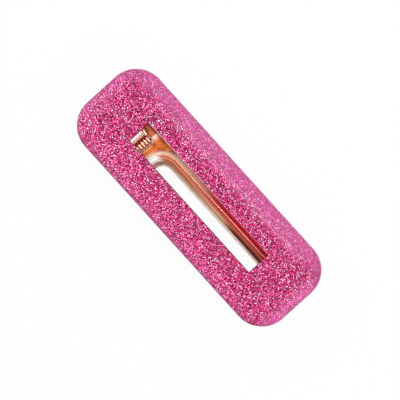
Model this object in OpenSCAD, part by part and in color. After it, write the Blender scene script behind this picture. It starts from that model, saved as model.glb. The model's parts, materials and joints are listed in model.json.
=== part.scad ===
// Hollow rectangular hair clip: a glitter acrylic frame on a sprung two-prong clip.
// X runs from the pinch tab to the jaw tips, Y across, Z up through the front face.
// The clip lies on its back: the pinch tab's end stands at Z = 0.

/* [Acrylic frame] */
// Length of the frame
frame_l = 82; // [74:1:92]
// Width of the frame
frame_w = 28.3; // [26:0.1:34]
// Thickness of the acrylic
frame_t = 4.6; // [3.5:0.1:6]
// Radius of the four outer corners
corner_r = 8.8; // [8:0.2:12]
// Length of the window
window_l = 50; // [46:1:52]
// Width of the window
window_w = 7.4; // [6:0.2:9]
// Width of the softly crowned rim inside the outer edge
rim_w = 6; // [4:0.5:7]
// Fall of the crown from the flat front to the outer edge
crown_drop = 1.2; // [0.6:0.1:1.6]

/* [Levers] */
// Thickness of the sheet that both levers are stamped from
sheet_t = 0.5; // [0.4:0.05:0.6]
// Width of the levers across the head
head_w = 14.3; // [14.1:0.1:14.5]
// Width of the glued lever's prongs, and of the domed ring that joins them
fixed_prong_w = 3.1; // [3:0.1:3.4]
// Width of the moving lever's prongs, and of the ring that joins them
moving_prong_w = 4.4; // [4.2:0.1:4.6]
// Height of the prongs' dome above their edges
dome_rise = 0.75; // [0.6:0.05:0.8]
// Height of the dome at the tip
tip_rise = 0.55; // [0.45:0.05:0.6]
// Width of the glued lever's prongs at the tip
fixed_tip_w = 2.8; // [2.5:0.1:3]
// Width of the moving lever's prongs at the tip
moving_tip_w = 4.2; // [3.5:0.1:4.3]
// Distance from the hinge to the centre of the round crotch
crotch_x = 10.6; // [10.3:0.1:11.2]
// Distance from the hinge to the jaw tips
jaw_l = 50; // [44:1:52]
// Outward turn of the glued lever's prongs, in degrees
fixed_splay = 0.2; // [0:0.1:0.4]
// Outward turn of the moving lever's prongs, in degrees
moving_splay = 0.2; // [0:0.1:0.6]
// Length of the pinch tab behind the head
tab_l = 9.8; // [8:0.2:11]
// Width of the pinch tab at its end
tab_w = 12.4; // [10:0.2:13]
// Angle at which the moving lever's tab stands away, in degrees
tab_flare = 26; // [24:1:30]

/* [Hinge and spring] */
// Place of the hinge along the frame
hinge_x = -22.3; // [-22.6:0.1:-21.8]
// Offset of the clip's centre line from the frame's
clip_y = -3.6; // [-4:0.1:-3]
// Height of the lever's sheet over the hinge axis
sheet_h = 1.9; // [1.85:0.01:2]
// Radius of the hinge pin
pin_r = 0.8; // [0.7:0.05:0.85]
// Mean radius of the spring's coil
coil_r = 1.9; // [1.8:0.05:1.95]
// Diameter of the spring wire
wire_d = 1; // [0.8:0.05:1]
// Length of the coil along the pin
coil_l = 8.8; // [8.6:0.1:9]
// Whole turns of the spring besides the half turn between its legs
coil_turns = 8; // [6:1:8]

/* [Hidden] */

back_edge_r = 0.8; // rounding of the acrylic's back edge
front_edge_r = 1.6; // rounding where the crown meets the side
lap = 0.4; // overlap of solids that are joined in one piece
dome_steps = 6; // facets on each side of a dome's crest
jaw_gap = 0.03; // from the plane between the jaws to each prong's edge
glue_room = 0.25; // from the highest point of the glued lever to the acrylic
ear_gap = 0.1; // between the ears of the two levers
bore_gap = 0.06; // running clearance of the moving lever on the pin
fixed_ear_r = 2; // round end of the glued lever's ears
moving_ear_r = 1.75; // round end of the moving lever's ears
head_rear = -4.9; // rear end of the head, where the tab begins
slot_rear = -4; // rear end of the opening over the coil
slot_front = 2.2; // front end of that opening
slot_w = 9.6; // its width
slot_step_x = -1.35; // the glued lever's opening is wider from here to its rear end
slot_rear_w = 11.4; // its width there
slot_cut = [1.4, 0.85]; // the cut across its front corners
tab_corner_r = 2.4; // round corners of the tab
tab_root_w = 10.6; // width of the tab at the head
pin_head_r = 1.3;
pin_head_t = 0.4;
leg_l = 5.2; // length of the spring leg that lies along the tab
wire_sides = 8;
wire_steps = 20; // rings of the spring's mesh in one turn
$fn = 96;

crest_h = sheet_h + sheet_t + dome_rise; // top of the dome over the hinge axis
close_a = asin((sheet_h - jaw_gap) / jaw_l); // each lever leans in by this to close at the tips
tab_turn = tab_flare + close_a;
tab_root_z = sheet_h * cos(close_a) - head_rear * sin(close_a);
hinge_z = tab_root_z + tab_l * sin(tab_turn) + sheet_t * cos(tab_turn); // the tab's end stands at Z = 0
back_z = hinge_z + crest_h + glue_room; // the acrylic's back face
crown_r = (rim_w * rim_w + crown_drop * crown_drop) / (2 * crown_drop);

// Radius of an arc of the given chord and rise
function arc_r(chord, rise) = (chord * chord / 4 + rise * rise) / (2 * rise);

// ---- Acrylic frame ----

// Section of the rim, measured outward from the centre of a corner
module rim_section() {
    crown_x = corner_r - rim_w;
    edge_x = corner_r - front_edge_r;
    edge_z = frame_t - crown_r + sqrt(pow(crown_r - front_edge_r, 2) - pow(rim_w - front_edge_r, 2));
    tangent_x = crown_x + crown_r * (rim_w - front_edge_r) / (crown_r - front_edge_r);
    translate([crown_x - lap, 0]) square([lap, frame_t]);
    intersection() {
        translate([crown_x, frame_t - crown_r]) circle(crown_r, $fn = 240);
        translate([crown_x, back_edge_r]) square([tangent_x - crown_x, frame_t]);
    }
    translate([edge_x, edge_z]) circle(front_edge_r);
    translate([crown_x, back_edge_r]) square([rim_w, edge_z - back_edge_r]);
    translate([crown_x, 0]) square([rim_w - back_edge_r, back_edge_r]);
    translate([corner_r - back_edge_r, back_edge_r]) circle(back_edge_r);
}

// One straight side of the rim, its section turned to face outward along +Y
module rim_side(length) {
    rotate([90, 0, 90])
        linear_extrude(length, center = true) rim_section();
}

module slab() {
    side_l = frame_l - 2 * corner_r;
    side_w = frame_w - 2 * corner_r;
    inner_r = corner_r - rim_w;
    linear_extrude(frame_t) {
        square([side_l, side_w + 2 * inner_r], center = true);
        square([side_l + 2 * inner_r, side_w], center = true);
        for (x = [-1, 1], y = [-1, 1])
            translate([x * side_l / 2, y * side_w / 2]) circle(inner_r);
    }
    for (flip = [0, 1]) mirror([0, flip, 0])
        translate([0, side_w / 2, 0]) rim_side(side_l);
    for (turn = [-90, 90]) rotate([0, 0, turn])
        translate([0, side_l / 2, 0]) rim_side(side_w);
    for (x = [0, 1], y = [0, 1]) mirror([x, 0, 0]) mirror([0, y, 0])
        translate([side_l / 2, side_w / 2, 0]) rotate_extrude(angle = 90) rim_section();
}

module acrylic_frame() {
    color("#cf5f92") translate([0, 0, back_z]) difference() {
        slab();
        translate([0, 0, frame_t / 2]) cube([window_l, window_w, 3 * frame_t], center = true);
    }
}

// ---- Levers, drawn round the hinge axis with the jaws along +X ----

// Section of a domed strip that stands on its two edges: over the dome from left to right, back inside it
function dome_section(width, rise) =
    let (r = arc_r(width, rise), mid = rise + sheet_t - r,
         outer = asin(width / 2 / r), inner = acos(-mid / (r - sheet_t)))
    concat([[width / 2, 0]],
        [for (k = [dome_steps : -1 : -dome_steps])
            let (a = outer * k / dome_steps) [r * sin(a), mid + r * cos(a)]],
        [[-width / 2, 0]],
        [for (k = [-dome_steps : dome_steps])
            let (a = inner * k / dome_steps) [(r - sheet_t) * sin(a), mid + (r - sheet_t) * cos(a)]]);

// The section set across the fork's path at a place in plan, where the path heads the given way
function dome_ring(place, heading, width, rise) = [for (p = dome_section(width, rise))
    [place[0] - p[0] * sin(heading), place[1] + p[0] * cos(heading), sheet_h + p[1]]];

// Middle of the domed strip from the clip's centre line, so that its outer edge runs on from the head's
function strip_y(width) = (head_w - width) / 2;

// A ring of one prong (side 1 or -1) at a distance from the crotch
function prong_ring(side, distance, tip_x, root_w, tip_w, splay) =
    let (straight = tip_x - tip_w / 2, tip_r = arc_r(tip_w, tip_rise),
         part = min(distance / straight, 1), past = max(distance - straight, 0),
         full_w = root_w + (tip_w - root_w) * part,
         width = past > 0 ? sqrt(tip_w * tip_w - 4 * past * past) : full_w,
         rise = dome_rise + (tip_rise - dome_rise) * part - tip_r + sqrt(tip_r * tip_r - past * past))
    dome_ring([crotch_x + distance * cos(splay), side * (strip_y(root_w) + distance * sin(splay))],
        side > 0 ? 180 + splay : -splay, width, rise);

// A ring of the strip that joins the prongs round the crotch, at an angle from the clip's centre line
function crotch_ring(a, width) =
    dome_ring([crotch_x + strip_y(width) * cos(a), strip_y(width) * sin(a)], a + 90, width, dome_rise);

// Both prongs and the domed ring that joins them round the crotch, from tip to tip
module fork(root_w, tip_w, splay) {
    tip_x = jaw_l - crotch_x;
    round_x = [for (a = [0 : 15 : 75]) tip_x - tip_w / 2 * (1 - sin(a))];
    rings = concat(
        [for (k = [len(round_x) - 1 : -1 : 0]) prong_ring(1, round_x[k], tip_x, root_w, tip_w, splay)],
        [for (a = [90 : 7.5 : 270]) crotch_ring(a, root_w)],
        [for (x = round_x) prong_ring(-1, x, tip_x, root_w, tip_w, splay)]);
    polyhedron([for (ring = rings) each ring], tube_faces(len(rings), len(rings[0])));
}

// Flat head behind the ring, with the opening that the coil shows through
module head(width, rear_w = slot_w) {
    translate([0, 0, sheet_h]) linear_extrude(sheet_t) difference() {
        union() {
            translate([head_rear, -width / 2]) square([slot_front - head_rear, width]);
            translate([slot_front - lap, -head_w / 2]) square([crotch_x - slot_front + lap, head_w]);
        }
        translate([crotch_x, 0]) circle(head_w / 2 - lap);
        polygon([
            [slot_rear, -slot_w / 2], [slot_front - slot_cut[0], -slot_w / 2],
            [slot_front, slot_cut[1] - slot_w / 2], [slot_front, slot_w / 2 - slot_cut[1]],
            [slot_front - slot_cut[0], slot_w / 2], [slot_rear, slot_w / 2]
        ]);
        translate([slot_rear, -rear_w / 2]) square([slot_step_x - slot_rear, rear_w]);
    }
}

// Tab behind the head, turned outward by the given angle
module tab(turn) {
    end_x = -tab_l + tab_corner_r;
    translate([head_rear, 0, sheet_h]) rotate([0, turn, 0]) linear_extrude(sheet_t) {
        polygon([
            [0, -tab_root_w / 2], [0, tab_root_w / 2], [end_x, tab_w / 2], [end_x, -tab_w / 2]
        ]);
        translate([-tab_l, tab_corner_r - tab_w / 2]) square([tab_corner_r, tab_w - 2 * tab_corner_r]);
        for (side = [-1, 1])
            translate([end_x, side * (tab_w / 2 - tab_corner_r)]) circle(tab_corner_r);
    }
}

// Ear down to the hinge on each side, its outer face at the given distance from the middle
module ears(outer_y, round_r, bore_r) {
    for (side = [-1, 1])
        translate([0, side > 0 ? outer_y : sheet_t - outer_y, 0]) rotate([90, 0, 0])
            linear_extrude(sheet_t) difference() {
                union() {
                    circle(round_r);
                    translate([-round_r, 0]) square([2 * round_r, sheet_h + sheet_t / 2]);
                }
                circle(bore_r);
            }
}

module at_hinge() {
    translate([hinge_x, clip_y, hinge_z]) children();
}

module fixed_lever() {
    color("#d9966f") at_hinge() rotate([0, close_a, 0]) {
        head(head_w, slot_rear_w);
        fork(fixed_prong_w, fixed_tip_w, fixed_splay);
        tab(0);
        ears(head_w / 2, fixed_ear_r, pin_r);
    }
}

module moving_lever() {
    width = head_w - 2 * (sheet_t + ear_gap);
    color("#cf8a63") at_hinge() mirror([0, 0, 1]) rotate([0, close_a, 0]) {
        head(width);
        fork(moving_prong_w, moving_tip_w, moving_splay);
        tab(tab_flare);
        ears(width / 2, moving_ear_r, pin_r + bore_gap);
    }
}

// ---- Hinge pin and torsion spring ----

module hinge_pin() {
    color("#c9c4bf") at_hinge() rotate([90, 0, 0]) {
        cylinder(h = head_w, r = pin_r, center = true);
        for (side = [0, 1]) mirror([0, 0, side])
            translate([0, 0, head_w / 2]) cylinder(h = pin_head_t, r1 = pin_head_r, r2 = pin_r);
    }
}

leg_room = wire_d / 2 + 0.04; // from the lever's sheet to the middle of the leg that presses on it
leg_h = sheet_h - leg_room;
leg_bend_x = slot_rear - 0.3; // the leg clears the edge of the opening here
tab_bend_x = head_rear - leg_room * tan(tab_flare / 2); // the moving lever's leg turns along its tab here
leg_turn = atan2(leg_h, leg_bend_x) - acos(coil_r / norm([leg_bend_x, leg_h])); // where it meets the coil
coil_sweep = 2 * (leg_turn - close_a) + 360 * coil_turns;
coil_rings = ceil(coil_sweep / 360 * wire_steps);

// A ring of the wire: its middle in X and Z, its distance along the pin, and the angle of its normal
function wire_ring(x, y, z, turn) = [for (k = [0 : wire_sides - 1])
    let (u = wire_d / 2 * cos(360 * k / wire_sides), v = wire_d / 2 * sin(360 * k / wire_sides))
    [x + u * cos(turn), y - v, z + u * sin(turn)]];

// A point of the upper leg turned about the hinge with its lever
function leg_ring(x, h, y, lean, turn) =
    wire_ring(x * cos(lean) + h * sin(lean), y, h * cos(lean) - x * sin(lean), turn - lean);

function flip_z(ring) = [for (p = ring) [p[0], p[1], -p[2]]];

function coil_ring(i) =
    let (part = i / coil_rings, turn = leg_turn - close_a - coil_sweep * part)
    wire_ring(coil_r * cos(turn), coil_l * (part - 0.5), coil_r * sin(turn), turn);

// The glued lever's leg from its free end, the coil, then the moving lever's leg bent along its tab
spring_rings = concat(
    [for (x = [leg_bend_x - leg_l, leg_bend_x]) leg_ring(x, leg_h, -coil_l / 2, close_a, 90)],
    [for (i = [0 : coil_rings]) coil_ring(i)],
    [flip_z(leg_ring(leg_bend_x, leg_h, coil_l / 2, close_a, 90)),
     flip_z(leg_ring(tab_bend_x, leg_h, coil_l / 2, close_a, 90 - tab_flare / 2)),
     flip_z(leg_ring(tab_bend_x - leg_l * cos(tab_flare), leg_h + leg_l * sin(tab_flare),
         coil_l / 2, close_a, 90 - tab_flare))]
);

function tube_faces(rings, sides) = concat(
    [[for (k = [0 : sides - 1]) k]],
    [for (i = [0 : rings - 2], k = [0 : sides - 1]) let (n = (k + 1) % sides)
        [i * sides + k, (i + 1) * sides + k, (i + 1) * sides + n]],
    [for (i = [0 : rings - 2], k = [0 : sides - 1]) let (n = (k + 1) % sides)
        [i * sides + k, (i + 1) * sides + n, i * sides + n]],
    [[for (k = [sides - 1 : -1 : 0]) (rings - 1) * sides + k]]
);

module torsion_spring() {
    color("#e0b59a") at_hinge()
        polyhedron([for (ring = spring_rings) each ring], tube_faces(len(spring_rings), wire_sides));
}

// ---- Glue between the acrylic's back and the glued lever ----

glue_top = back_z - hinge_z;

module tail_glue() {
    pad = [8, 8];
    color("#efe6dc") at_hinge() difference() {
        translate([head_rear - pad[0], -pad[1] / 2, sheet_h]) cube([pad[0], pad[1], glue_top - sheet_h]);
        rotate([0, close_a, 0]) translate([-frame_l / 2, -frame_w / 2, 0])
            cube([frame_l, frame_w, sheet_h + sheet_t]);
    }
}

// A bead on the prong that lies behind the long strip, shaped by the prong's dome
module prong_glue() {
    bead = [18, 2.4];
    start = 1;
    bead_y = -strip_y(fixed_prong_w);
    hollow_top = dome_rise + 0.05; // the bead stays over the hollow under the dome
    color("#efe6dc") at_hinge() difference() {
        translate([crotch_x + start, bead_y - bead[1] / 2, sheet_h])
            cube([bead[0], bead[1], glue_top - sheet_h]);
        rotate([0, close_a, 0]) {
            fork(fixed_prong_w, fixed_tip_w, fixed_splay);
            translate([crotch_x, bead_y, 0]) rotate([0, 0, -fixed_splay])
                translate([0, -bead[1], 0]) cube([1.2 * bead[0], 2 * bead[1], sheet_h + hollow_top]);
        }
    }
}

acrylic_frame();
fixed_lever();
moving_lever();
torsion_spring();
hinge_pin();
tail_glue();
prong_glue();
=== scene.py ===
import json
import math
from types import SimpleNamespace

import bmesh
import bpy
from mathutils import Matrix, Vector


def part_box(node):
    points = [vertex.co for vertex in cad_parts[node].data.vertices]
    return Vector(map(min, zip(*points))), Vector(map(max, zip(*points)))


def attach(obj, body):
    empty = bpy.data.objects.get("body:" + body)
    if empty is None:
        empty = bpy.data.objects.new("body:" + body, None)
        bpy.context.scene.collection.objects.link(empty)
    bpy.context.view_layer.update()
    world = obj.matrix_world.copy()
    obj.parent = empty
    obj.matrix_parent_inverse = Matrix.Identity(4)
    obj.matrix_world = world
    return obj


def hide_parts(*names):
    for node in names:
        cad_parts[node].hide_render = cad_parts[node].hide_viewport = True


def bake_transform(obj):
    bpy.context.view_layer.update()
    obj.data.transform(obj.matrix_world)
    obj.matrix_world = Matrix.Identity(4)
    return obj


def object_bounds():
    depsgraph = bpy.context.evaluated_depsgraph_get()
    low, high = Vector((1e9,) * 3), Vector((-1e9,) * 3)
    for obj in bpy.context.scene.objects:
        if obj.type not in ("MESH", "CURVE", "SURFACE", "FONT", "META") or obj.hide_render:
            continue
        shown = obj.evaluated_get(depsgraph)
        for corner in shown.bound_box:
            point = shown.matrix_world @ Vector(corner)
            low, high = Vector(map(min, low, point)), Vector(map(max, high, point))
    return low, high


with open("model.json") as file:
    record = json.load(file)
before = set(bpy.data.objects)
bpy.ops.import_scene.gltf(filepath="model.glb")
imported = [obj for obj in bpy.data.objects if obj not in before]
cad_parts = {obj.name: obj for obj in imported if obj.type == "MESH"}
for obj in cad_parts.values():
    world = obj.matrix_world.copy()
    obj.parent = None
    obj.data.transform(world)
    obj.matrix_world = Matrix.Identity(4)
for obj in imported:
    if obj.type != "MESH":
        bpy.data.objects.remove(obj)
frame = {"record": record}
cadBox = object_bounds()
mm = 0.001
slack = 0.01 * mm  # how far a point may lie from a line and still be picked with it
hingeAt = Vector(frame["record"]["behaviour"]["joints"][0]["pos_m"])
acrylicLow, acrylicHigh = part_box("acrylic_frame")
print("frame loaded")


# modelling helpers

def deselectAll():
    if bpy.context.object and bpy.context.object.mode == "EDIT":
        bpy.ops.object.mode_set(mode="OBJECT")
    bpy.ops.object.select_all(action="DESELECT")


def startEdit(name):
    piece = bpy.context.object
    piece.name = piece.data.name = name
    bpy.ops.object.transform_apply(location=True, rotation=True, scale=True)
    bpy.ops.object.mode_set(mode="EDIT")
    return piece


def choose(piece, kind, test):
    # selects the vertices, edges or faces that pass the test, and nothing else
    bpy.ops.mesh.select_mode(type=kind)
    bpy.ops.mesh.select_all(action="DESELECT")
    mesh = bmesh.from_edit_mesh(piece.data)
    items = {"VERT": mesh.verts, "EDGE": mesh.edges, "FACE": mesh.faces}[kind]
    for item in [item for item in items if test(item)]:
        item.select_set(True)
    mesh.select_flush_mode()
    bmesh.update_edit_mesh(piece.data)


def near(value, target, room=0.004 * mm):
    return abs(value - target) < room


def middleOf(item):
    return sum((corner.co for corner in item.verts), Vector()) / len(item.verts)


def extrudeEdges(move):
    bpy.ops.mesh.extrude_edges_move(TRANSFORM_OT_translate={"value": move})


def extrudeFaces(move):
    bpy.ops.mesh.extrude_region_move(TRANSFORM_OT_translate={"value": move})


def stretch(value, centre):
    bpy.ops.transform.resize(value=value, center_override=centre)


def insetAlong(profile):
    # insets the chosen face by steps, over a list of distances inward and outward
    inward, up = profile[0]
    for nextIn, nextUp in profile[1:]:
        bpy.ops.mesh.inset(thickness=nextIn - inward, depth=nextUp - up)
        inward, up = nextIn, nextUp


def mergeAll(room=0.003 * mm):
    bpy.ops.mesh.select_mode(type="VERT")
    bpy.ops.mesh.select_all(action="SELECT")
    bpy.ops.mesh.remove_doubles(threshold=room)


def snapSideways(points, target):
    # moves the nearest of the points to that distance from the centre line
    min(points, key=lambda v: abs(v.co.y - target)).co.y = target


def applyModifier(piece, kind, **settings):
    modifier = piece.modifiers.new(kind.title(), kind)
    for name, value in settings.items():
        setattr(modifier, name, value)
    bpy.context.view_layer.objects.active = piece
    bpy.ops.object.modifier_apply(modifier=modifier.name)


def smooth(piece, degrees):
    deselectAll()
    piece.select_set(True)
    bpy.context.view_layer.objects.active = piece
    bpy.ops.object.shade_smooth_by_angle(angle=math.radians(degrees))


def arcRadius(chord, rise):
    return (chord * chord / 4 + rise * rise) / (2 * rise)


# shader helpers

class Wire:
    # one socket of a material, which sums, products and comparisons turn into Math nodes

    def __init__(self, tree, socket):
        self.tree, self.socket = tree, socket

    def maths(self, operation, first, second=0):
        node = self.tree.nodes.new("ShaderNodeMath")
        node.operation = operation
        for slot, value in zip(node.inputs, (first, second)):
            if isinstance(value, Wire):
                self.tree.links.new(value.socket, slot)
            else:
                slot.default_value = value
        return Wire(self.tree, node.outputs[0])

    def __add__(self, other):
        return self.maths("ADD", self, other)

    def __radd__(self, other):
        return self.maths("ADD", other, self)

    def __sub__(self, other):
        return self.maths("SUBTRACT", self, other)

    def __rsub__(self, other):
        return self.maths("SUBTRACT", other, self)

    def __mul__(self, other):
        return self.maths("MULTIPLY", self, other)

    def __rmul__(self, other):
        return self.maths("MULTIPLY", other, self)

    def __gt__(self, other):
        return self.maths("GREATER_THAN", self, other)

    def __lt__(self, other):
        return self.maths("LESS_THAN", self, other)

    def size(self):
        return self.maths("ABSOLUTE", self)

    def atLeast(self, other):
        return self.maths("MAXIMUM", self, other)


class Finish:
    # a material, or the world's shader, under construction

    def __init__(self, name=None, tree=None):
        if name:
            self.material = bpy.data.materials.new(name)
            self.material.use_nodes = True
            tree = self.material.node_tree
        self.tree = tree
        self.tree.nodes.clear()

    def add(self, kind, settings=None, inputs=None):
        node = self.tree.nodes.new("ShaderNode" + kind)
        for name, value in (settings or {}).items():
            if name == "stops":
                ramp = node.color_ramp
                while len(ramp.elements) < len(value):
                    ramp.elements.new(0.5)
                for element, (place, colour) in zip(ramp.elements, value):
                    element.position = place
                    element.color = (*colour, 1)
            else:
                setattr(node, name, value)
        for name, value in (inputs or {}).items():
            slot = node.inputs[name]
            if isinstance(value, Wire):
                self.tree.links.new(value.socket, slot)
            elif slot.type == "RGBA" and len(value) == 3:
                slot.default_value = (*value, 1)
            else:
                slot.default_value = value
        return node

    def wire(self, node, output=0):
        return Wire(self.tree, node.outputs[output])

    def place(self):
        return self.wire(self.add("TexCoord"), "Object")

    def axes(self, vector):
        node = self.add("SeparateXYZ", None, {"Vector": vector})
        return [self.wire(node, axis) for axis in "XYZ"]

    def join(self, x, y):
        return self.wire(self.add("CombineXYZ", None, {"X": x, "Y": y}))

    def noise(self, vector, scale, detail):
        return self.wire(self.add("TexNoise", None, {"Vector": vector, "Scale": scale, "Detail": detail}))

    def mix(self, factor, first, second):
        node = self.add("Mix", {"data_type": "RGBA"}, {0: factor, 6: first, 7: second})
        return self.wire(node, 2)

    def between(self, value, start, end):
        # 0 up to the start and 1 from the end on
        node = self.add("MapRange", {"interpolation_type": "SMOOTHSTEP"},
                        {"Value": value, "From Min": start, "From Max": end})
        return self.wire(node)

    def over(self, distance, span, origin=0):
        # the same, over a span in millimetres from an origin
        start, end = span
        return self.between(distance, origin + start * mm, origin + end * mm)

    def ramp(self, stops, factor):
        return self.wire(self.add("ValToRGB", {"stops": stops}, {"Fac": factor}), "Color")

    def close(self, shader):
        self.add("OutputMaterial", None, {"Surface": shader})
        return self.material


def dress(piece, material, body, node):
    piece.data.materials.clear()
    piece.data.materials.append(material)
    if body:
        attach(piece, body)
    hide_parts(node)


# the acrylic frame: lengths in mm, angles in degrees
frameShape = {
    "corner": 8.8, "cornerSteps": 20, "rim": 6, "crownDrop": 1.2, "crownSteps": 14,
    "frontEdge": 1.6, "frontSteps": 8, "backEdge": 0.8, "backSteps": 5,
    "window": (50, 7.4), "windowEdge": 0.12, "windowSteps": 3, "smooth": 30,
}


def cutWindow(piece, thick):
    shape = frameShape
    deselectAll()
    bpy.ops.mesh.primitive_cube_add(size=1, location=(0, 0, (acrylicLow.z + acrylicHigh.z) / 2))
    cutter = bpy.context.object
    cutter.scale = (shape["window"][0] * mm, shape["window"][1] * mm, 4 * thick)
    applyModifier(piece, "BOOLEAN", object=cutter, operation="DIFFERENCE", solver="EXACT")
    bpy.data.objects.remove(cutter)
    deselectAll()
    bpy.context.view_layer.objects.active = piece
    piece.select_set(True)
    bpy.ops.object.mode_set(mode="EDIT")
    halfX, halfY = (side / 2 * mm for side in shape["window"])

    def isArris(edge):
        centre = middleOf(edge)
        onWindow = near(abs(centre.x), halfX) or near(abs(centre.y), halfY)
        flat = near(centre.z, acrylicHigh.z) or near(centre.z, acrylicLow.z)
        inside = abs(centre.x) < halfX + slack and abs(centre.y) < halfY + slack
        return onWindow and flat and inside

    choose(piece, "EDGE", isArris)
    bpy.ops.mesh.bevel(offset=shape["windowEdge"] * mm, segments=shape["windowSteps"], affect="EDGES")


def makeFrame():
    shape = frameShape
    length, width = acrylicHigh.x - acrylicLow.x, acrylicHigh.y - acrylicLow.y
    thick = acrylicHigh.z - acrylicLow.z
    backEdge, frontEdge = shape["backEdge"] * mm, shape["frontEdge"] * mm
    rim, drop = shape["rim"] * mm, shape["crownDrop"] * mm
    crown = (rim * rim + drop * drop) / (2 * drop)
    meet = math.asin((rim - frontEdge) / (crown - frontEdge))  # where the crown meets the edge's rounding
    edgeTop = thick - crown + (crown - frontEdge) * math.cos(meet)
    deselectAll()
    bpy.ops.mesh.primitive_plane_add(size=1, location=(0, 0, acrylicLow.z + backEdge))
    bpy.context.object.scale = (length, width, 1)
    piece = startEdit("glitter_frame")
    bpy.ops.mesh.select_all(action="SELECT")
    bpy.ops.mesh.bevel(offset=shape["corner"] * mm, segments=shape["cornerSteps"], affect="VERTICES")
    bpy.ops.mesh.select_mode(type="FACE")
    bpy.ops.mesh.select_all(action="SELECT")
    extrudeFaces((0, 0, edgeTop - backEdge))
    # the front: round the edge, then rise over the crown to the flat
    turns = []
    for k in range(1, shape["frontSteps"] + 1):
        angle = math.pi / 2 + (meet - math.pi / 2) * k / shape["frontSteps"]
        turns.append((rim - frontEdge, edgeTop, frontEdge, angle))
    for k in range(1, shape["crownSteps"] + 1):
        turns.append((0, thick - crown, crown, meet * (1 - k / shape["crownSteps"])))
    profile = [(0.0, edgeTop)]
    for centreOut, centreUp, radius, angle in turns:
        profile.append((rim - (centreOut + radius * math.sin(angle)), centreUp + radius * math.cos(angle)))
    insetAlong(profile)
    # the rounding of the back edge
    back = acrylicLow.z + backEdge
    choose(piece, "FACE", lambda face: near(middleOf(face).z, back) and len(face.verts) > 4)
    bpy.ops.mesh.normals_make_consistent(inside=False)
    profile = []
    for k in range(shape["backSteps"] + 1):
        angle = math.pi / 2 * k / shape["backSteps"]
        profile.append((backEdge * (1 - math.cos(angle)), backEdge * math.sin(angle)))
    insetAlong(profile)
    bpy.ops.mesh.select_all(action="SELECT")
    bpy.ops.mesh.normals_make_consistent(inside=False)
    cutWindow(piece, thick)
    bpy.ops.mesh.select_all(action="SELECT")
    bpy.ops.mesh.remove_doubles(threshold=0.001 * mm)
    smooth(piece, shape["smooth"])
    return piece


# both levers, round the hinge axis: lengths in mm, angles in degrees
leverShape = {
    "sheet": 0.5, "height": 1.9, "headWidth": 14.3, "headRear": -4.9, "crotch": 10.6,
    "jaw": 50, "jawGap": 0.03, "rise": 0.75, "tipRise": 0.55, "tipEnd": 0.02,
    "domeSteps": 18, "ringSteps": 32, "reachSteps": 8, "tipSteps": 11,
    "slotRear": -4, "slotFront": 2.2, "slotWidth": 9.6, "slotCut": (1.4, 0.85),
    "slotStep": -1.35, "stepRun": 0.03,
    "tabLength": 9.8, "tabWidth": 12.4, "tabRoot": 10.6, "tabCorner": 2.4, "cornerSteps": 9,
    "tabBend": 0.35, "bendSteps": 4, "earSteps": 12, "foldEdge": 0.42, "foldSteps": 5, "foldRoom": 0.15,
    "drillSides": 48, "drillLength": 30, "edgeRound": 0.07, "edgeSteps": 2, "edgeAngle": 50, "smooth": 32,
}
fixedShape = {
    "prong": 3.1, "tip": 2.8, "splay": 0.2, "railWidth": 14.3, "slotRear": 11.4, "turn": 0,
    "ear": 2.0, "bore": 0.8,
}
movingShape = {
    "prong": 4.4, "tip": 4.2, "splay": 0.2, "railWidth": 13.1, "slotRear": 9.6, "turn": 26,
    "ear": 1.75, "bore": 0.86,
}
closeAngle = math.asin((leverShape["height"] - leverShape["jawGap"]) / leverShape["jaw"])


def leverPlaces(own):
    # the lever's main lines in metres; those across it are half widths from its centre line
    shape = leverShape
    at = SimpleNamespace()
    at.top = (shape["height"] + shape["sheet"]) * mm
    at.sheet, at.rise, at.tipRise = shape["sheet"] * mm, shape["rise"] * mm, shape["tipRise"] * mm
    at.crotch, at.slotFront, at.slotStep = (shape[key] * mm for key in ("crotch", "slotFront", "slotStep"))
    at.slotRear, at.headRear = shape["slotRear"] * mm, shape["headRear"] * mm
    at.outer, at.slot = shape["headWidth"] / 2 * mm, shape["slotWidth"] / 2 * mm
    at.rail, at.rearSlot = own["railWidth"] / 2 * mm, own["slotRear"] / 2 * mm
    at.tabRoot, at.tab = shape["tabRoot"] / 2 * mm, shape["tabWidth"] / 2 * mm
    at.cutBack, at.cutIn = (side * mm for side in shape["slotCut"])
    at.prong, at.tip, at.ear = own["prong"] * mm, own["tip"] * mm, own["ear"] * mm
    return at


def spinRing(at):
    # a point spun over the prong's dome, and that arc spun round the crotch
    radius = arcRadius(at.prong, at.rise)
    ring = at.outer - at.prong / 2
    bpy.ops.mesh.select_mode(type="VERT")
    bpy.ops.mesh.select_all(action="SELECT")
    bpy.ops.mesh.merge(type="CENTER")
    bpy.ops.mesh.select_all(action="SELECT")
    bpy.ops.mesh.spin(steps=leverShape["domeSteps"], angle=-2 * math.asin(at.prong / 2 / radius),
                      center=(at.crotch, ring, at.top + at.rise - radius), axis=(1, 0, 0))
    bpy.ops.mesh.select_all(action="SELECT")
    bpy.ops.mesh.spin(steps=leverShape["ringSteps"], angle=-math.pi, center=(at.crotch, 0, 0), axis=(0, 0, 1))


def prongStations(at, straight):
    # distance from the crotch, width and height of the dome, over the straight part and the round tip
    steps, tipSteps = leverShape["reachSteps"], leverShape["tipSteps"]
    tipRadius = arcRadius(at.tip, at.tipRise)
    stations = []
    for k in range(1, steps + 1):
        part = k / steps
        stations.append((straight * part, at.prong + (at.tip - at.prong) * part,
                         at.rise + (at.tipRise - at.rise) * part))
    for k in range(1, tipSteps):
        past = at.tip / 2 * math.sin(math.pi / 2 * k / tipSteps)
        width = math.sqrt(at.tip ** 2 - 4 * past ** 2)
        height = at.tipRise - tipRadius + math.sqrt(tipRadius ** 2 - past ** 2)
        stations.append((straight + past, width, max(height, leverShape["tipEnd"] * mm)))
    return stations


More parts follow.
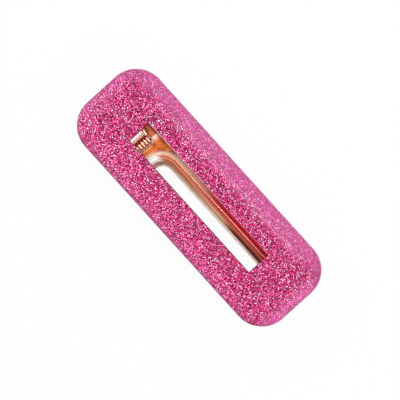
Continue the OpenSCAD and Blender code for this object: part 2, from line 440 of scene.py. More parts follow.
def growProng(piece, at, side, splay):
    # one prong from the crotch to its rounded tip, one chain of edges after another
    reach = leverShape["jaw"] * mm - at.crotch
    splay = math.radians(splay)
    rootY = (leverShape["headWidth"] * mm - at.prong) / 2
    choose(piece, "EDGE", lambda edge: all(near(v.co.x, at.crotch) and v.co.y * side > 0 for v in edge.verts))
    distance, width, height = 0.0, at.prong, at.rise
    for nextDistance, nextWidth, nextHeight in prongStations(at, reach - at.tip / 2):
        step = nextDistance - distance
        extrudeEdges((step * math.cos(splay), side * step * math.sin(splay), 0))
        centre = (at.crotch + nextDistance, side * (rootY + nextDistance * math.sin(splay)), at.top)
        stretch((1, nextWidth / width, nextHeight / height), centre)
        distance, width, height = nextDistance, nextWidth, nextHeight
    extrudeEdges((reach - distance, 0, 0))
    bpy.ops.mesh.merge(type="CENTER")


def growPlate(piece, at):
    # the head's plate, from the ring's outer edge back to the opening

    def onRing(v):
        distance = Vector((v.co.x - at.crotch, v.co.y)).length
        return near(distance, at.outer, slack) and v.co.x < at.crotch + slack

    choose(piece, "EDGE", lambda edge: all(onRing(v) for v in edge.verts))
    extrudeEdges((-0.1 * mm, 0, 0))  # any short way, for the next line lays it straight at the opening
    stretch((0, 1, 1), (at.slotFront, 0, 0))
    mesh = bmesh.from_edit_mesh(piece.data)
    front = [v for v in mesh.verts if near(v.co.x, at.slotFront)]
    for target in (at.slot, at.slot - at.cutIn, at.rail):
        for side in (1, -1):
            snapSideways(front, side * target)
    bmesh.update_edit_mesh(piece.data)


def growRail(piece, at, side):
    # one rail beside the opening, back to the head's rear end

    def onFront(v):
        return near(v.co.x, at.slotFront) and at.slot - slack < v.co.y * side < at.rail + slack

    def onCut(v):
        return (at.slotFront - at.cutBack - slack < v.co.x < at.slotFront + slack
                and at.slot - at.cutIn - slack < v.co.y * side < at.slot + slack)

    choose(piece, "EDGE", lambda edge: all(onFront(v) for v in edge.verts))
    place = at.slotFront
    stepStart = at.slotStep + leverShape["stepRun"] * mm
    cutEnd = at.slotFront - at.cutBack
    for station in (at.ear, cutEnd, stepStart, at.slotStep, -at.ear, at.slotRear, at.headRear):
        extrudeEdges((station - place, 0, 0))
        place = station
    choose(piece, "VERT", onCut)
    bpy.ops.mesh.edge_face_add()
    # the opening's wider rear part, and room for the fold down to the ears
    mesh = bmesh.from_edit_mesh(piece.data)
    foldRoom = (leverShape["foldEdge"] + leverShape["foldRoom"]) * mm
    for v in mesh.verts:
        fromRail = at.rail - v.co.y * side
        if v.co.x > at.slotFront - slack or fromRail > at.rail - at.slot + slack:
            continue
        if at.slotRear - slack < v.co.x < at.slotStep + slack:
            fromRail *= (at.rail - at.rearSlot) / (at.rail - at.slot)
        if fromRail > slack:
            fromRail = max(fromRail, foldRoom)
        v.co.y = side * (at.rail - fromRail)
    bmesh.update_edit_mesh(piece.data)


def joinRails(piece, at):
    # the strip behind the opening
    ends = ((at.headRear, at.slot), (at.slotRear, at.rearSlot))

    def joins(edge):
        return all(any(near(v.co.x, x) and near(abs(v.co.y), y) for v in edge.verts) for x, y in ends)

    mergeAll()
    choose(piece, "EDGE", joins)
    bpy.ops.mesh.bridge_edge_loops()


def growTab(piece, at, degrees):
    shape = leverShape

    def onRoot(v):
        return near(v.co.x, at.headRear) and abs(v.co.y) < at.tabRoot + slack

    mesh = bmesh.from_edit_mesh(piece.data)
    rear = [v for v in mesh.verts if near(v.co.x, at.headRear) and abs(v.co.y) > at.slot + slack]
    for side in (1, -1):
        snapSideways(rear, side * at.tabRoot)
    bmesh.update_edit_mesh(piece.data)
    choose(piece, "EDGE", lambda edge: all(onRoot(v) for v in edge.verts))
    turn, length = math.radians(degrees), shape["tabLength"] * mm
    tabX = at.headRear - length * math.cos(turn) + at.sheet * math.sin(turn)
    tabTop = at.top - at.sheet + length * math.sin(turn) + at.sheet * math.cos(turn)
    extrudeEdges((tabX - at.headRear, 0, tabTop - at.top))
    stretch((1, shape["tabWidth"] / shape["tabRoot"], 1), (tabX, 0, tabTop))
    choose(piece, "VERT", lambda v: near(v.co.x, tabX) and abs(v.co.y) < at.tab - slack)
    bpy.ops.mesh.dissolve_verts()
    choose(piece, "VERT", lambda v: near(v.co.x, tabX))
    bpy.ops.mesh.bevel(offset=shape["tabCorner"] * mm, segments=shape["cornerSteps"], affect="VERTICES")
    if turn:
        choose(piece, "EDGE", lambda edge: all(onRoot(v) and near(v.co.z, at.top) for v in edge.verts))
        bpy.ops.mesh.bevel(offset=shape["tabBend"] * mm, segments=shape["bendSteps"], affect="EDGES")


def foldEar(piece, at, side):
    shape = leverShape

    def onRail(v):
        return near(v.co.y, side * at.rail) and abs(v.co.x) < at.ear + slack

    def atEnd(v):
        return near(v.co.z, -at.ear) and near(v.co.y, side * at.rail)

    choose(piece, "EDGE", lambda edge: all(onRail(v) for v in edge.verts))
    extrudeEdges((0, 0, -at.top - at.ear))
    choose(piece, "VERT", lambda v: atEnd(v) and abs(v.co.x) < at.ear - slack)
    bpy.ops.mesh.dissolve_verts()
    choose(piece, "VERT", atEnd)
    fullRound = at.ear * 0.999  # a hair less than half the ear's width, so that the two corners don't meet
    bpy.ops.mesh.bevel(offset=fullRound, segments=shape["earSteps"], affect="VERTICES")
    choose(piece, "EDGE", lambda edge: all(onRail(v) and near(v.co.z, at.top) for v in edge.verts))
    bpy.ops.mesh.bevel(offset=shape["foldEdge"] * mm, segments=shape["foldSteps"], affect="EDGES")


def thicken(piece, at, bore):
    shape = leverShape
    mesh = bmesh.from_edit_mesh(piece.data)
    level = [face for face in mesh.faces if near(middleOf(face).z, at.top)]
    if max(level, key=lambda face: face.calc_area()).normal.z < 0:
        bpy.ops.mesh.flip_normals()
    deselectAll()
    applyModifier(piece, "SOLIDIFY", thickness=shape["sheet"] * mm, offset=-1, use_even_offset=True)
    deselectAll()
    bpy.ops.mesh.primitive_cylinder_add(vertices=shape["drillSides"], radius=bore * mm,
                                        depth=shape["drillLength"] * mm, rotation=(math.pi / 2, 0, 0))
    drill = bpy.context.object
    applyModifier(piece, "BOOLEAN", object=drill, operation="DIFFERENCE", solver="EXACT")
    bpy.data.objects.remove(drill)
    applyModifier(piece, "BEVEL", width=shape["edgeRound"] * mm, segments=shape["edgeSteps"],
                  limit_method="ANGLE", angle_limit=math.radians(shape["edgeAngle"]), use_clamp_overlap=True)


def makeLever(name, own):
    at = leverPlaces(own)
    deselectAll()
    bpy.ops.mesh.primitive_plane_add(size=mm, location=(at.crotch, at.outer, at.top))
    piece = startEdit(name)
    spinRing(at)
    for side in (1, -1):
        growProng(piece, at, side, own["splay"])
    growPlate(piece, at)
    for side in (1, -1):
        growRail(piece, at, side)
    joinRails(piece, at)
    growTab(piece, at, own["turn"])
    for side in (1, -1):
        foldEar(piece, at, side)
    mergeAll()
    bpy.ops.mesh.normals_make_consistent(inside=False)
    thicken(piece, at, own["bore"])
    return piece


def setLever(piece, flip):
    # from round the hinge axis to its place, leaning in to close at the tips
    place = Matrix.Rotation(closeAngle, 4, "Y")
    if flip:
        place = Matrix.Diagonal((1, 1, -1, 1)) @ place
    piece.data.transform(Matrix.Translation(hingeAt) @ place)
    if flip:
        piece.data.flip_normals()
    smooth(piece, leverShape["smooth"])


# the hinge pin: lengths in mm, angles in degrees; crown is the share of a head's width not rounded off
pinShape = {
    "radius": 0.8, "sides": 40, "head": 1.3, "headHeight": 0.4, "steps": 5, "crown": 0.25, "smooth": 35,
}


def makePin():
    shape = pinShape
    half = leverShape["headWidth"] / 2 * mm
    radius, head, height = (shape[key] * mm for key in ("radius", "head", "headHeight"))
    deselectAll()
    bpy.ops.mesh.primitive_cylinder_add(vertices=shape["sides"], radius=radius, depth=2 * half,
                                        location=hingeAt, rotation=(math.pi / 2, 0, 0))
    piece = startEdit("rivet_pin")
    for side in (1, -1):
        end = hingeAt + Vector((0, side * half, 0))
        choose(piece, "FACE", lambda face: len(face.verts) > 4 and near(middleOf(face).y, end.y))
        extrudeFaces((0, 0, 0))
        stretch((head / radius, 1, head / radius), end)
        grown, size = 0.0, 1.0
        for k in range(1, shape["steps"] + 1):
            angle = math.pi / 2 * k / (shape["steps"] + 0.6)  # ends on a small flat
            nextGrown = height * math.sin(angle)
            nextSize = math.cos(angle) * (1 - shape["crown"]) + shape["crown"]
            extrudeFaces((0, side * (nextGrown - grown), 0))
            stretch((nextSize / size, 1, nextSize / size), end)
            grown, size = nextGrown, nextSize
    mergeAll()
    bpy.ops.mesh.normals_make_consistent(inside=False)
    smooth(piece, shape["smooth"])
    return piece


# the torsion spring: lengths in mm, angles in degrees; legEnd tapers the wire at its two ends
springShape = {
    "wire": 1.0, "wireSteps": 4, "coil": 1.9, "length": 8.8, "turns": 8, "stepsPerTurn": 28,
    "leg": 5.2, "legSteps": 6, "legRoom": 0.54, "legEnd": 0.8, "clearSlot": 0.3, "bendStart": 0.12,
    "smooth": 40,
}


def springRoute():
    # the fixed leg from its end, the coil, then the moving leg bent along its tab, round the hinge axis
    shape = springShape
    legHeight = leverShape["height"] - shape["legRoom"]
    bendX = leverShape["slotRear"] - shape["clearSlot"]
    flare = math.radians(movingShape["turn"])
    tabX = leverShape["headRear"] - shape["legRoom"] * math.tan(flare / 2)
    start = math.atan2(legHeight, bendX) - math.acos(shape["coil"] / math.hypot(bendX, legHeight))
    sweep = 2 * (start - closeAngle) + 2 * math.pi * shape["turns"]
    steps = math.ceil(sweep / (2 * math.pi) * shape["stepsPerTurn"])
    half, legSteps = shape["length"] / 2, shape["legSteps"]

    def lean(x, z, flip):
        u = x * math.cos(closeAngle) + z * math.sin(closeAngle)
        w = z * math.cos(closeAngle) - x * math.sin(closeAngle)
        return u, -w if flip else w

    route = []
    for k in range(legSteps + 1):
        x = bendX - shape["leg"] * (1 - k / legSteps)
        u, w = lean(x, legHeight, False)
        route.append((u, -half, w))
    for k in range(steps + 1):
        part = k / steps
        turn = start - closeAngle - sweep * part
        ahead, height = shape["coil"] * math.cos(turn), shape["coil"] * math.sin(turn)
        route.append((ahead, shape["length"] * (part - 0.5), height))
    legs = [(bendX, legHeight), (tabX + shape["bendStart"], legHeight)]
    for k in range(1, legSteps + 1):
        along = shape["leg"] * k / legSteps
        legs.append((tabX - along * math.cos(flare), legHeight + along * math.sin(flare)))
    for x, z in legs:
        u, w = lean(x, z, True)
        route.append((u, half, w))
    return [hingeAt + Vector(point) * mm for point in route]


def makeSpring():
    shape = springShape
    route = springRoute()
    curve = bpy.data.curves.new("coil_wire", "CURVE")
    curve.dimensions = "3D"
    line = curve.splines.new("POLY")
    line.points.add(len(route) - 1)
    for point, place in zip(line.points, route):
        point.co = (*place, 1)
    line.points[0].radius = line.points[-1].radius = shape["legEnd"]
    curve.bevel_depth = shape["wire"] / 2 * mm
    curve.bevel_resolution = shape["wireSteps"]
    curve.use_fill_caps = True
    deselectAll()
    wire = bpy.data.objects.new("coil_spring", curve)
    bpy.context.scene.collection.objects.link(wire)
    wire.select_set(True)
    bpy.context.view_layer.objects.active = wire
    bpy.ops.object.convert(target="MESH")
    piece = bpy.context.object
    piece.name = piece.data.name = "coil_spring"
    bpy.ops.object.mode_set(mode="EDIT")
    mergeAll(0.002 * mm)
    bpy.ops.mesh.normals_make_consistent(inside=False)
    smooth(piece, shape["smooth"])
    return piece


# the two glued places: each bead's solid and its corners; lengths in mm, angles in degrees
glueShape = {
    "beads": {"tail_bead": ("tail_glue", 2.5), "prong_bead": ("prong_glue", 0.7)},
    "cornerSteps": 8, "edge": 0.3, "edgeShare": 0.3, "edgeSteps": 3, "smooth": 50,
}


def makeGlue(name, node, corner):
    # a squeezed blob with round corners and edges, in its solid's box
    shape = glueShape
    low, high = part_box(node)
    size, centre = high - low, (low + high) / 2
    deselectAll()
    bpy.ops.mesh.primitive_cube_add(size=1, location=centre)
    bpy.context.object.scale = size
    piece = startEdit(name)
    choose(piece, "EDGE", lambda edge: abs((edge.verts[0].co - edge.verts[1].co).normalized().z) > 0.9)
    bpy.ops.mesh.bevel(offset=corner * mm, segments=shape["cornerSteps"], affect="EDGES")
    edge = min(size.z * shape["edgeShare"], shape["edge"] * mm)
    for tall in (1, -1):
        choose(piece, "FACE", lambda face: face.normal.z * tall > 0.9)
        bpy.ops.mesh.bevel(offset=edge, segments=shape["edgeSteps"], affect="EDGES")
    mergeAll(0.001 * mm)
    bpy.ops.mesh.normals_make_consistent(inside=False)
    smooth(piece, shape["smooth"])
    return piece


# the acrylic's look; the pairs are distances in mm from the frame's centre, where a change begins and ends
glitter = {
    "dye": [(0.0, (0.01, 0.0, 0.001)), (0.4, (0.07, 0.0, 0.01)), (1.0, (0.6, 0.006, 0.11))],
    "flake": [(0.0, (0.2, 0.002, 0.035)), (0.5, (0.7, 0.022, 0.17)), (1.0, (1.0, 0.23, 0.58))],
    "flakes": 0.5, "spark": (1.0, 0.72, 0.93), "fine": 6600, "sparks": 5000, "rare": 0.925, "tilt": 1.25,
    "flakeMetal": 0.8, "roughness": 0.5, "flakePolish": 0.2, "gloss": 0.1,
    "coat": 0.12, "coatRoughness": 0.05, "coatIor": 1.49,
    "rim": (0.95, 0.2, 0.56), "rimHighlightStrength": 0.46, "endRim": (35.5, 41), "sideRim": (6.5, 13),
    "lowRim": (-9.5, -14), "lowShare": 0.4, "endTurn": (-20, 20), "endShare": 0.7, "endGain": 0.4,
    "wallShade": (0.2, 0.004, 0.03), "litWall": (0.5, 0.006, 0.035), "paintedWallGlow": 0.25, "wallRoom": 0.002,
    "litFrom": (-12, 10), "litEnd": -24.8,
    "lipHighlight": (1.0, 0.68, 0.78), "lipRed": (0.85, 0.12, 0.22), "lipWidth": 0.13, "lipTurn": (-12, 15),
    "lipHighlightStrength": 0.85,
}


def acrylicFinish():
    make, look = Finish("glitterAcrylic"), glitter
    place = make.place()
    x, y, _ = make.axes(place)
    small = make.add("TexVoronoi", {"feature": "F1"}, {"Vector": place, "Scale": look["fine"]})
    large = make.add("TexVoronoi", {"feature": "F1"}, {"Vector": place, "Scale": look["sparks"]})
    draw = make.add("SeparateColor", None, {"Color": make.wire(small, "Color")})
    sparkDraw = make.add("SeparateColor", None, {"Color": make.wire(large, "Color")})
    # the sawn walls of the window show the dye alone, painted dark as shade; the far part of the upper wall
    # and the left end wall get a painted lit colour and a painted glow
    halfX, halfY = (side / 2 * mm + look["wallRoom"] * mm for side in frameShape["window"])
    isCut = (x.size() < halfX) * (y.size() < halfY)
    farLit = (y > 0) * make.over(x, look["litFrom"])
    isLit = isCut * farLit.atLeast(x < look["litEnd"] * mm)
    # flakes in the dye, and a few bright sparks
    isFlake = (make.wire(draw, "Green") > 1 - look["flakes"]) * (1 - isCut)
    shade = make.wire(draw, "Red")
    colour = make.mix(isFlake, make.ramp(look["dye"], shade), make.ramp(look["flake"], shade))
    colour = make.mix(make.wire(sparkDraw, "Red") > look["rare"], colour, look["spark"])
    # a painted highlight along the upper long arris of the window, paler toward the coil's end and redder
    # toward the tips
    isLipHighlight = (1 - isCut) * (y > 0) * (y < halfY + look["lipWidth"] * mm) * (x.size() < halfX)
    lipHighlight = make.mix(make.over(x, look["lipTurn"]), look["lipHighlight"], look["lipRed"])
    colour = make.mix(isLipHighlight * look["lipHighlightStrength"], colour, lipHighlight)
    # a painted highlight: the crowned rim is painted paler and more violet, as a reflection of the lamps,
    # most of all along one long side
    atEnds = make.over(x.size(), look["endRim"])
    atEnds = atEnds * (look["endShare"] + look["endGain"] * make.over(x, look["endTurn"]))
    below = make.over(y, look["lowRim"]) * look["lowShare"]
    rim = atEnds.atLeast(make.over(y, look["sideRim"])).atLeast(below) * look["rimHighlightStrength"]
    colour = make.mix(rim, colour, look["rim"])
    # painted shade on the window's walls, and the painted lit colour on those picked as lit
    colour = make.mix(isLit, make.mix(isCut, colour, look["wallShade"]), look["litWall"])
    # each flake lies at its own tilt
    tilted = make.wire(small, "Color")
    tilted = make.add("VectorMath", {"operation": "SUBTRACT"}, {0: tilted, 1: (0.5, 0.5, 0.5)})
    tilted = make.add("VectorMath", {"operation": "SCALE"}, {0: make.wire(tilted), "Scale": look["tilt"]})
    facing = make.wire(make.add("NewGeometry"), "Normal")
    tilted = make.add("VectorMath", {"operation": "ADD"}, {0: make.wire(tilted), 1: facing})
    tilted = make.add("VectorMath", {"operation": "NORMALIZE"}, {0: make.wire(tilted)})
    shader = make.add("BsdfPrincipled", None, {
        "Base Color": colour, "Metallic": isFlake * look["flakeMetal"],
        "Roughness": look["roughness"] - isFlake * look["flakePolish"], "Specular IOR Level": look["gloss"],
        "Normal": make.wire(tilted), "Coat Weight": look["coat"] - isCut * look["coat"],
        "Coat Roughness": look["coatRoughness"], "Coat IOR": look["coatIor"],
        # the painted glow on the walls picked as lit
        "Emission Color": make.mix(isLit, (0.0, 0.0, 0.0), look["litWall"]),
        "Emission Strength": look["paintedWallGlow"],
    })
    return make.close(make.wire(shader, "BSDF"))


# what both levers share; the pairs are distances in mm where a change begins and ends: toSide from the
# centre line, toTip and toStreak past the crotch, the others along the head from the hinge
leverMetal = {
    "metallic": 0.9, "paintedReflectionMetallic": 0.15, "roughness": 0.26, "cloudy": 0.1,
    "coat": 0.4, "paintedReflectionCoat": 0.2, "coatRoughness": 0.03, "coatIor": 1.5,
    "cloudScale": 420, "cloudEdge": (0.36, 0.62), "lineScale": (45, 8), "lineEdge": (0.52, 0.38),
    "lineColour": (0.2, 0.04, 0.02), "lineDepth": 0.45,
    "toSide": (2.0, 3.6), "toTip": (4, 18), "toStreak": (19, 26),
    "archHighlightEnd": (2.6, 1.0), "bendShadeEnd": (0.75, 0.45), "tabStart": (-3.6, -4.6),
    "plateFrom": 1.02, "outerFrom": 0.9, "insideBelow": -0.3, "edgeBelow": 0.5, "paintedReflectionAbove": 0.1,
}

# colours over each strip from its inner edge, 0, to its outer one, 1: behind the crotch, beside it,
# further on, and at the tips; they hold painted reflections, highlights and shadow
# the glued lever: pale bands are painted highlights, deep red bands painted reflections of the acrylic, and
# black at the tips' inner edge a painted shadow; the orange plate is a painted reflection, the colour where
# the rail arches by the coil a painted highlight and the bend's colour painted shade; the inside and outer
# edge are painted shade, the inner edge a painted highlight and the tip edge a painted shadow; the tab keeps
# the metal's own colour
gluedLook = {
    "plate": (0.5, 0.115, 0.016), "plateDark": (0.28, 0.05, 0.005), "archHighlight": (0.82, 0.47, 0.38),
    "bendShade": (0.42, 0.09, 0.03), "tab": (0.9, 0.5, 0.36),
    "ring": [(0.0, (1.0, 0.95, 0.85)), (0.45, (1.0, 1.0, 0.95)), (0.53, (0.8, 0.72, 0.62)),
             (0.64, (0.6, 0.5, 0.38)), (0.75, (0.75, 0.62, 0.48)), (0.88, (1.0, 0.75, 0.55)),
             (1.0, (0.95, 0.42, 0.2))],
    "root": [(0.05, (0.8, 0.22, 0.1)), (0.12, (0.5, 0.1, 0.04)), (0.27, (1.0, 0.42, 0.22)),
             (0.4, (0.5, 0.1, 0.04)), (0.53, (0.62, 0.16, 0.08)), (0.62, (0.9, 0.4, 0.24)),
             (0.74, (1.0, 0.86, 0.62)), (0.86, (1.0, 0.58, 0.36)), (1.0, (0.5, 0.15, 0.13))],
    "reach": [(0.0, (0.85, 0.4, 0.25)), (0.13, (1.0, 0.7, 0.5)), (0.22, (0.75, 0.22, 0.12)),
              (0.36, (0.85, 0.1, 0.04)), (0.41, (0.3, 0.008, 0.004)), (0.5, (0.3, 0.008, 0.004)),
              (0.56, (1.0, 0.3, 0.24)), (0.6, (1.0, 0.28, 0.24)), (0.67, (0.6, 0.012, 0.03)),
              (1.0, (0.7, 0.018, 0.05))],
    "tips": [(0.0, (0.02, 0.004, 0.002)), (0.08, (0.03, 0.005, 0.003)), (0.16, (0.5, 0.1, 0.05)),
             (0.36, (0.85, 0.09, 0.04)), (0.41, (0.3, 0.008, 0.004)), (0.5, (0.3, 0.008, 0.004)),
             (0.56, (1.0, 0.3, 0.26)), (0.6, (1.0, 0.28, 0.26)), (0.67, (0.6, 0.01, 0.025)),
             (1.0, (0.7, 0.013, 0.04))],
    "inside": [(0.0, (0.3, 0.12, 0.08)), (1.0, (0.4, 0.18, 0.12))],
    "insideTips": [(0.0, (0.3, 0.12, 0.08)), (1.0, (0.4, 0.18, 0.12))],
    "edge": (0.8, 0.3, 0.18), "tipEdge": (0.03, 0.006, 0.004), "outerEdge": (0.3, 0.05, 0.04),
}
# the jaw lever: the rose gold's own colour, with a lighter crest on each ramp as a painted highlight, its
# inside and edges painted lighter as highlights, a dark band inside near the tips as a painted shadow, and
# the bend and outer edge a little darker as painted shade
jawLook = {
    "plate": (0.94, 0.56, 0.43), "plateDark": (0.88, 0.48, 0.35), "archHighlight": (0.94, 0.56, 0.43),
    "bendShade": (0.88, 0.5, 0.38), "tab": (0.94, 0.56, 0.43),
    "ring": [(0.0, (0.86, 0.62, 0.52)), (0.5, (0.98, 0.6, 0.47)), (1.0, (0.86, 0.5, 0.4))],
    "root": [(0.0, (0.86, 0.62, 0.52)), (0.3, (0.92, 0.5, 0.36)), (0.5, (0.98, 0.6, 0.47)),
             (0.7, (0.92, 0.5, 0.36)), (1.0, (0.86, 0.5, 0.4))],
    "reach": [(0.0, (0.86, 0.62, 0.52)), (0.3, (0.92, 0.5, 0.36)), (0.5, (0.98, 0.6, 0.47)),
              (1.0, (0.86, 0.5, 0.4))],
    "tips": [(0.0, (0.86, 0.62, 0.52)), (0.5, (0.98, 0.6, 0.47)), (1.0, (0.86, 0.5, 0.4))],
    "inside": [(0.0, (1.0, 0.92, 0.75)), (0.12, (1.0, 0.85, 0.64)), (0.25, (1.0, 0.62, 0.42)),
               (1.0, (0.7, 0.3, 0.15))],
    "insideTips": [(0.0, (0.9, 0.75, 0.65)), (0.1, (1.0, 0.8, 0.7)), (0.17, (0.9, 0.6, 0.5)),
                   (0.24, (0.1, 0.03, 0.02)), (1.0, (0.3, 0.05, 0.03))],
    "edge": (0.9, 0.72, 0.58), "tipEdge": (0.9, 0.75, 0.65), "outerEdge": (0.6, 0.35, 0.25),
}


def leverFinish(name, own, look, flip):
    # the domed ring and prongs carry painted reflections in streaks, with painted highlights and painted
    # shadow among them; the head has its own colours, with painted reflection and shade beside the coil, and
    # the inside and cut edges are painted with shade and highlights
    make, metal = Finish(name), leverMetal
    place = make.place()
    x, y, _ = make.axes(place)
    crotchAt = hingeAt.x + leverShape["crotch"] * mm
    aside = y - hingeAt.y
    toward = make.join((crotchAt - x).atLeast(0), aside)
    fromCrotch = make.add("VectorMath", {"operation": "LENGTH"}, {0: toward})
    outer, width = leverShape["headWidth"] / 2 * mm, own["prong"] * mm
    across = (make.wire(fromCrotch, "Value") - (outer - width)) * (1 / width)
    toStreak = make.over(x, metal["toStreak"], crotchAt)
    # the painted reflection streaks across the dome, changing from the crotch out to the tips
    colour = make.mix(make.over(aside.size(), metal["toSide"]), make.ramp(look["ring"], across),
                      make.ramp(look["root"], across))
    colour = make.mix(make.over(x, metal["toTip"], crotchAt), colour, make.ramp(look["reach"], across))
    colour = make.mix(toStreak, colour, make.ramp(look["tips"], across))
    # fine drawn lines run along the strip
    lineLength, lineCount = metal["lineScale"]
    lines = make.between(make.noise(make.join(x * lineLength, across * lineCount), 1, 2), *metal["lineEdge"])
    colour = make.mix(lines * metal["lineDepth"], colour, make.mix(0.5, colour, metal["lineColour"]))
    # the head's plate with random cloud, painted orange as a reflection on the glued lever; a painted
    # highlight where the rail arches and painted shade at the bend beside the coil, and the tab
    cloud = make.noise(place, metal["cloudScale"], 4)
    plate = make.mix(make.between(cloud, *metal["cloudEdge"]), look["plateDark"], look["plate"])
    fromHinge = x - hingeAt.x
    for span, part in (("archHighlightEnd", "archHighlight"), ("bendShadeEnd", "bendShade"), ("tabStart", "tab")):
        plate = make.mix(make.over(fromHinge, metal[span]), plate, look[part])
    isPlate = (across > metal["plateFrom"]) * (x < crotchAt)
    colour = make.mix(isPlate, colour, plate)
    # the sheet's inside and its cut edges, painted with shade, highlights and shadow
    facing = make.axes(make.wire(make.add("TexCoord"), "Normal"))[2]
    outward = facing * (-1 if flip else 1)
    inside = make.mix(toStreak, make.ramp(look["inside"], across), make.ramp(look["insideTips"], across))
    colour = make.mix(outward > metal["insideBelow"], inside, colour)
    edge = make.mix(toStreak, look["edge"], look["tipEdge"])
    edge = make.mix(across > metal["outerFrom"], edge, look["outerEdge"])
    colour = make.mix(outward.size() < metal["edgeBelow"], colour, edge)
    # where the painted reflections are, the metal is less metallic and less coated, so that the painted
    # colour shows
    isPaintedReflection = (1 - isPlate) * (facing > metal["paintedReflectionAbove"])
    shader = make.add("BsdfPrincipled", None, {
        "Base Color": colour,
        "Metallic": metal["metallic"] - isPaintedReflection * (metal["metallic"] - metal["paintedReflectionMetallic"]),
        "Roughness": metal["roughness"] + cloud * metal["cloudy"],
        "Coat Weight": metal["coat"] - isPaintedReflection * (metal["coat"] - metal["paintedReflectionCoat"]),
        "Coat Roughness": metal["coatRoughness"], "Coat IOR": metal["coatIor"],
    })
    return make.close(make.wire(shader, "BSDF"))


wireLook = {"bright": (0.97, 0.62, 0.48), "dark": (0.93, 0.5, 0.34), "roughness": 0.1}
pinLook = {"bright": (0.74, 0.68, 0.63), "dark": (0.66, 0.6, 0.56), "roughness": 0.2}
# the fine grain of wire and pin, with its depth in mm
grain = {"cloudScale": 350, "cloudy": 0.06, "grainScale": 9000, "strength": 0.03, "depth": 0.02}


def metalFinish(name, look):
    make = Finish(name)
    place = make.place()
    cloud = make.noise(place, grain["cloudScale"], 3)
    bump = make.add("Bump", None, {
        "Height": make.noise(place, grain["grainScale"], 2), "Strength": grain["strength"],
        "Distance": grain["depth"] * mm,
    })
    shader = make.add("BsdfPrincipled", None, {
        "Base Color": make.mix(cloud, look["bright"], look["dark"]), "Metallic": 1.0,
        "Roughness": look["roughness"] + cloud * grain["cloudy"], "Normal": make.wire(bump),
    })
    return make.close(make.wire(shader, "BSDF"))


glueLook = {
    "thick": (0.9, 0.86, 0.8), "thin": (0.97, 0.95, 0.92), "cloudScale": 900, "cloudy": 0.15,
    "roughness": 0.15, "alpha": 0.55, "ior": 1.48,
}


def glueFinish():
    make, look = Finish("clearGlue"), glueLook
    cloud = make.noise(make.place(), look["cloudScale"], 3)
    shader = make.add("BsdfPrincipled", None, {
        "Base Color": make.mix(cloud, look["thick"], look["thin"]),
        "Roughness": look["roughness"] + cloud * look["cloudy"],
        "Alpha": look["alpha"] + cloud * look["cloudy"], "IOR": look["ior"],
    })
    return make.close(make.wire(shader, "BSDF"))


# the pieces
frameAcrylic = makeFrame()
dress(frameAcrylic, acrylicFinish(), "frame", "acrylic_frame")
print("acrylic frame made", len(frameAcrylic.data.polygons))

fixedLever = makeLever("glued_lever", fixedShape)
setLever(fixedLever, False)
# the glued lever's finish carries painted reflections, highlights and shade
dress(fixedLever, leverFinish("roseGoldPaintedReflections", fixedShape, gluedLook, False), "frame", "fixed_lever")
print("glued lever made", len(fixedLever.data.polygons))

movingLever = makeLever("jaw_lever", movingShape)
setLever(movingLever, True)
# the jaw lever's finish carries painted highlights and shadow on its inside and edges
dress(movingLever, leverFinish("roseGoldJawPaintedLight", movingShape, jawLook, True), "jaw", "moving_lever")
print("jaw lever made", len(movingLever.data.polygons))

pin = makePin()
dress(pin, metalFinish("pinSteel", pinLook), "frame", "hinge_pin")
print("pin made", len(pin.data.polygons))

spring = makeSpring()
dress(spring, metalFinish("springWire", wireLook), None, "torsion_spring")
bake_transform(spring)
print("spring made", len(spring.data.polygons))

clearGlue = glueFinish()
for beadName, (glueNode, corner) in glueShape["beads"].items():
    dress(makeGlue(beadName, glueNode, corner), clearGlue, "frame", glueNode)
print("glue made")

# the camera: lengths in mm, angles in degrees
camera = {
    "lens": 150, "sensor": 36, "distance": 466.3, "leanX": 0.6, "leanY": 1.5, "roll": 47.83, "across": 0.34,
    "down": 0.64,
}


def makeCamera():
    leanX, leanY = (math.tan(math.radians(camera[side])) for side in ("leanX", "leanY"))
    back = Vector((leanX, leanY, 1)).normalized()
    roll = math.radians(camera["roll"])
    right = Vector((math.cos(roll), math.sin(roll), 0))
    right = (right - right.dot(back) * back).normalized()
    up = back.cross(right)
    centre = Vector((0, 0, acrylicHigh.z)) + right * camera["across"] * mm - up * camera["down"] * mm
    eye = bpy.data.cameras.new("camera")
    eye.lens, eye.sensor_width = camera["lens"], camera["sensor"]
    eye.clip_start, eye.clip_end = 0.01, 10
    holder = bpy.data.objects.new("camera", eye)
    bpy.context.scene.collection.objects.link(holder)
    turn = Matrix((right, up, back)).transposed().to_4x4()
    holder.matrix_world = Matrix.Translation(centre + back * camera["distance"] * mm) @ turn
    bpy.context.scene.camera = holder
    return right, up


# the lamps: toward is across the view, up it, and to the camera; sizes in metres, power in watts
lampDistance = 0.6
lamps = {
    "besideTheClip": {"toward": (0.5, 0.55, 1.0), "size": 0.35, "power": 0.8},
    "pastTheCoil": {"toward": (-0.5, 0.55, 1.0), "size": 0.35, "power": 1.3},
    "pastTheTips": {"toward": (0.5, -0.55, 1.0), "size": 0.35, "power": 1.15},
    "overhead": {"toward": (0.16, 0.14, 1.0), "size": 0.12, "power": 0.6},
}


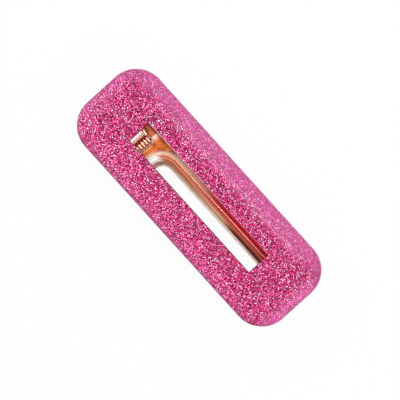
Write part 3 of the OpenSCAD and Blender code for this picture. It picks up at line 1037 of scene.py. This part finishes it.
def makeLamps(right, up):
    for name, one in lamps.items():
        across, rise, back = one["toward"]
        place = (right * across + up * rise + Vector((0, 0, back))).normalized() * lampDistance
        lamp = bpy.data.lights.new(name, "AREA")
        lamp.shape, lamp.size, lamp.energy = "SQUARE", one["size"], one["power"]
        holder = bpy.data.objects.new(name, lamp)
        bpy.context.scene.collection.objects.link(holder)
        holder.location = place
        holder.rotation_mode = "QUATERNION"
        holder.rotation_quaternion = place.to_track_quat("Z", "Y")


# the studio: what the camera sees, what lights the object, and the levels that mirrored rays meet by height
studio = {
    "camera": 1.0, "fill": 0.27, "floor": (0.9, 0.9, 0.9), "floorShadow": 0.06, "floorSize": 6, "mirror": 1.1,
    "mirrored": [(0.0, 0.75), (0.4, 0.5), (0.6, 0.95), (0.72, 0.3), (0.82, 0.3), (0.9, 0.9), (1.0, 0.75)],
}


def makeWorld():
    world = bpy.data.worlds.new("studio")
    bpy.context.scene.world = world
    world.use_nodes = True
    make = Finish(tree=world.node_tree)
    rays = make.add("LightPath")
    height = make.axes(make.wire(make.add("TexCoord"), "Generated"))[2]
    mirrored = make.ramp([(place, (level, level, level)) for place, level in studio["mirrored"]], height)
    mirrored = make.wire(make.add("RGBToBW", None, {"Color": mirrored})) * studio["mirror"]
    seen = make.wire(rays, "Is Camera Ray")
    shiny = make.wire(rays, "Is Glossy Ray")
    level = seen * studio["camera"] + (1 - seen) * (shiny * mirrored + (1 - shiny) * studio["fill"])
    level = level.atLeast(make.wire(rays, "Is Transmission Ray"))
    glow = make.add("Background", None, {"Color": (1, 1, 1), "Strength": level})
    make.add("OutputWorld", None, {"Surface": make.wire(glow)})


def makeFloor():
    deselectAll()
    bpy.ops.mesh.primitive_plane_add(size=studio["floorSize"], location=(0, 0, cadBox[0].z))
    floor = bpy.context.object
    floor.name = "floor"
    make = Finish("paleFloor")
    rays = make.add("LightPath")
    matt = make.add("BsdfDiffuse", None, {"Color": studio["floor"]})
    glow = make.add("Emission", None, {"Color": (1, 1, 1), "Strength": 1.0})
    seen = make.wire(rays, "Is Camera Ray").atLeast(make.wire(rays, "Is Glossy Ray"))
    share = seen * (1 - studio["floorShadow"])
    both = make.add("MixShader", None, {0: share, 1: make.wire(matt), 2: make.wire(glow)})
    floor.data.materials.append(make.close(make.wire(both)))


right, up = makeCamera()
makeLamps(right, up)
makeWorld()
makeFloor()
bpy.context.scene.view_settings.view_transform = "Standard"
print("camera, light and floor made")
